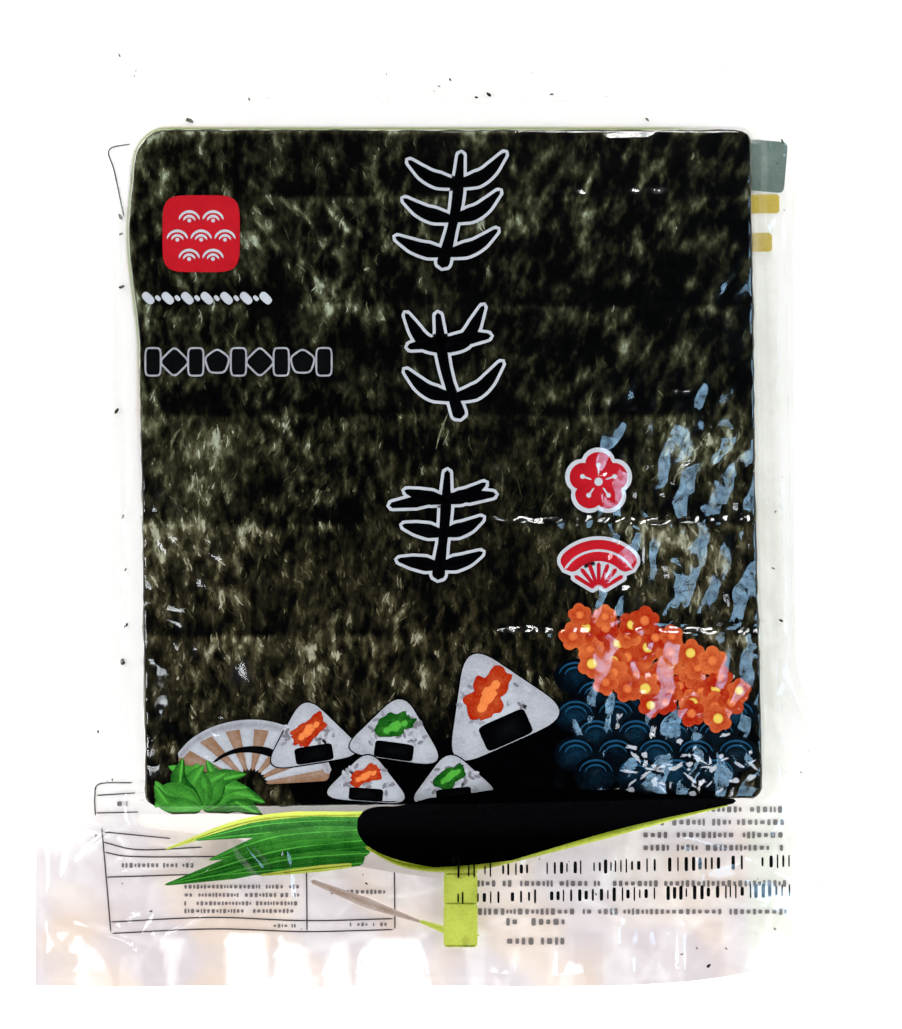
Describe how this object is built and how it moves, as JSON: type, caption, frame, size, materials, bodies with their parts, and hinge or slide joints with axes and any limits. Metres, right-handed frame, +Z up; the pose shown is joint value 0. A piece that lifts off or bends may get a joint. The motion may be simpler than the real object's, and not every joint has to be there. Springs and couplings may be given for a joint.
{
  "type": "bag of nori sheets",
  "caption": "Sealed clear film bag holding a flat stack of toasted seaweed sheets, with narrow side margins and a wide empty flap below.",
  "frame": {"origin": "centre of the bag's outline on the surface that it lies on", "axes": "+X across the bag to the right as its front is read, +Y towards its top edge, +Z up, out of its front"},
  "size_m": [0.261, 0.295, 0.015],
  "materials": {
    "film": "clear thin glossy film, faintly warm where two layers lie together",
    "nori": "toasted seaweed, very dark olive green with fibres and a low sheen",
    "ink_white": "white printing ink under film",
    "ink_black": "black printing ink under film",
    "ink_grey": "thin grey printed lines",
    "ink_red": "red printing ink under film",
    "ink_orange": "orange to orange-red printing ink under film",
    "ink_green": "leaf green printing ink under film",
    "ink_lime": "yellow-green printing ink under film",
    "ink_navy": "blue-black printing ink under film",
    "ink_cream": "pale cream and tan printing ink under film",
    "ink_yellow": "yellow printing ink on the back film",
    "ink_slate": "blue-grey printing ink on the back film"
  },
  "bodies": {
    "root": {"film_bag": "film"}
  },
  "joints": []
}
